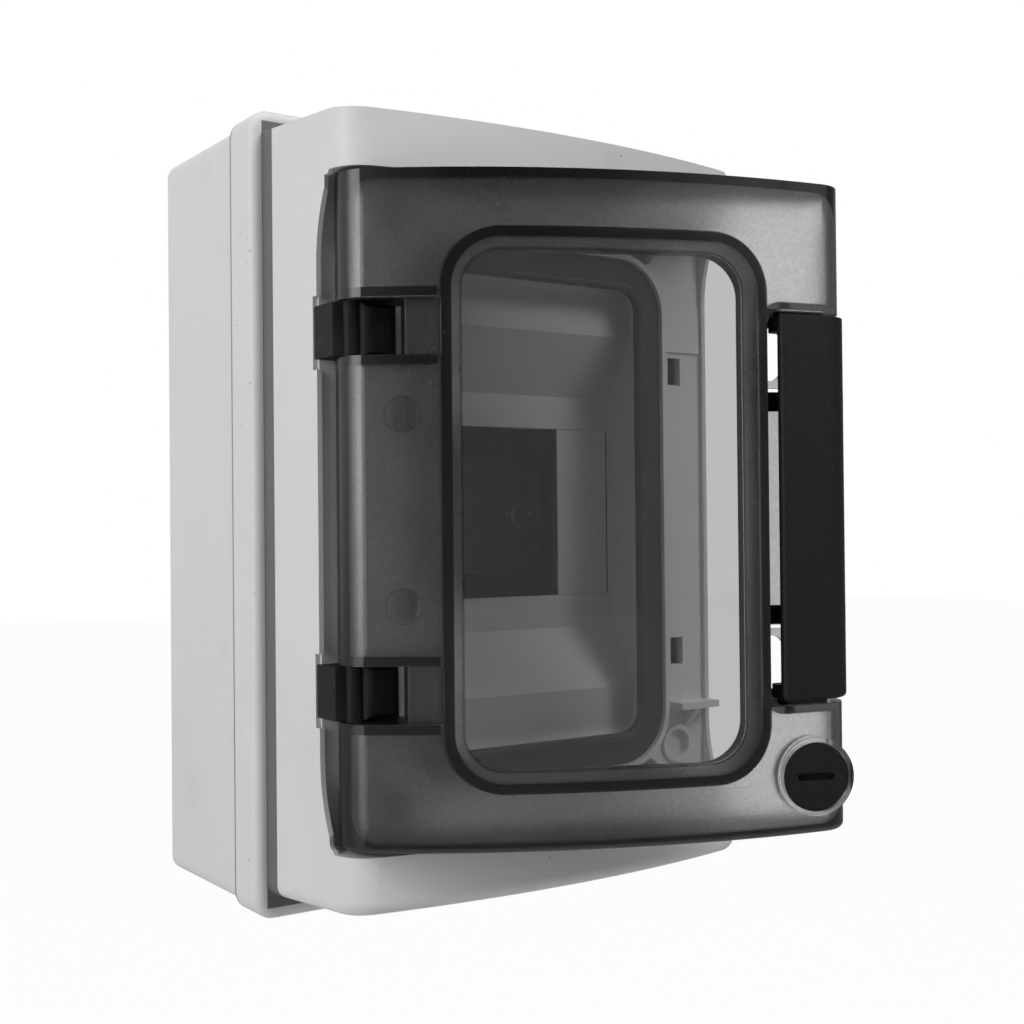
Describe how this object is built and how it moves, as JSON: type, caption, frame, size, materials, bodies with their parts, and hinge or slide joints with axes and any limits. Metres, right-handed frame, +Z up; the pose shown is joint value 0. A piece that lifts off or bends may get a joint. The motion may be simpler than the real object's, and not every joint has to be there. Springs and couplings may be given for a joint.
{
  "type": "dc combiner box",
  "caption": "Wall box for four rail devices: grey tub and bowed cover, smoked hinged door with window, sprung latch handle and lock plug.",
  "frame": {"origin": "centre of the back face, on the wall", "axes": "+X to the right seen from the front, +Y into the wall, +Z up"},
  "size_m": [0.126, 0.1538, 0.2],
  "materials": {
    "grey_plastic": "fine satin, light grey",
    "smoked_clear": "smoked, frosted round a clear window",
    "black_plastic": "fine spark-eroded texture",
    "black_rubber": "soft, slightly dusty",
    "brass": "drawn bar",
    "steel": "zinc plated",
    "zinc_steel": "passivated zinc, rolled"
  },
  "bodies": {
    "enclosure": {"base_tub": "grey_plastic", "base_gasket": "black_rubber", "front_cover": "grey_plastic", "door_gasket": "black_rubber", "cover_screws": "steel", "blanking_plate": "grey_plastic", "din_rail": "zinc_steel", "rail_screws": "steel", "terminal_carrier_upper": "black_plastic", "terminal_carrier_lower": "black_plastic", "carrier_screws": "steel", "terminal_bar_positive": "brass", "terminal_bar_negative": "brass", "terminal_bar_earth": "brass", "terminal_screws": "steel", "hinge_bearing_upper": "black_plastic", "hinge_bearing_lower": "black_plastic", "hinge_screws": "steel"},
    "door": {"door_shell": "smoked_clear", "hinge_pin_upper": "black_plastic", "hinge_pin_lower": "black_plastic", "lock_cap": "black_plastic", "lock_clip": "steel", "latch_pin_upper": "steel", "latch_pin_lower": "steel"},
    "latch": {"latch_handle": "black_plastic", "latch_hook_upper": "black_plastic", "latch_hook_lower": "black_plastic"}
  },
  "joints": [
    {"name": "door_hinge", "type": "hinge", "parent": "enclosure", "child": "door", "pos_m": [-0.0548, -0.096, 0], "axis": [0, 0, -1], "range_deg": [-24.9, 85.1]},
    {"name": "latch_pull", "type": "hinge", "parent": "door", "child": "latch", "pos_m": [0.03599, -0.14101, 0], "axis": [0, 0, -1], "range_deg": [0, 15], "stiffness_Nm_per_rad": 0.05}
  ]
}
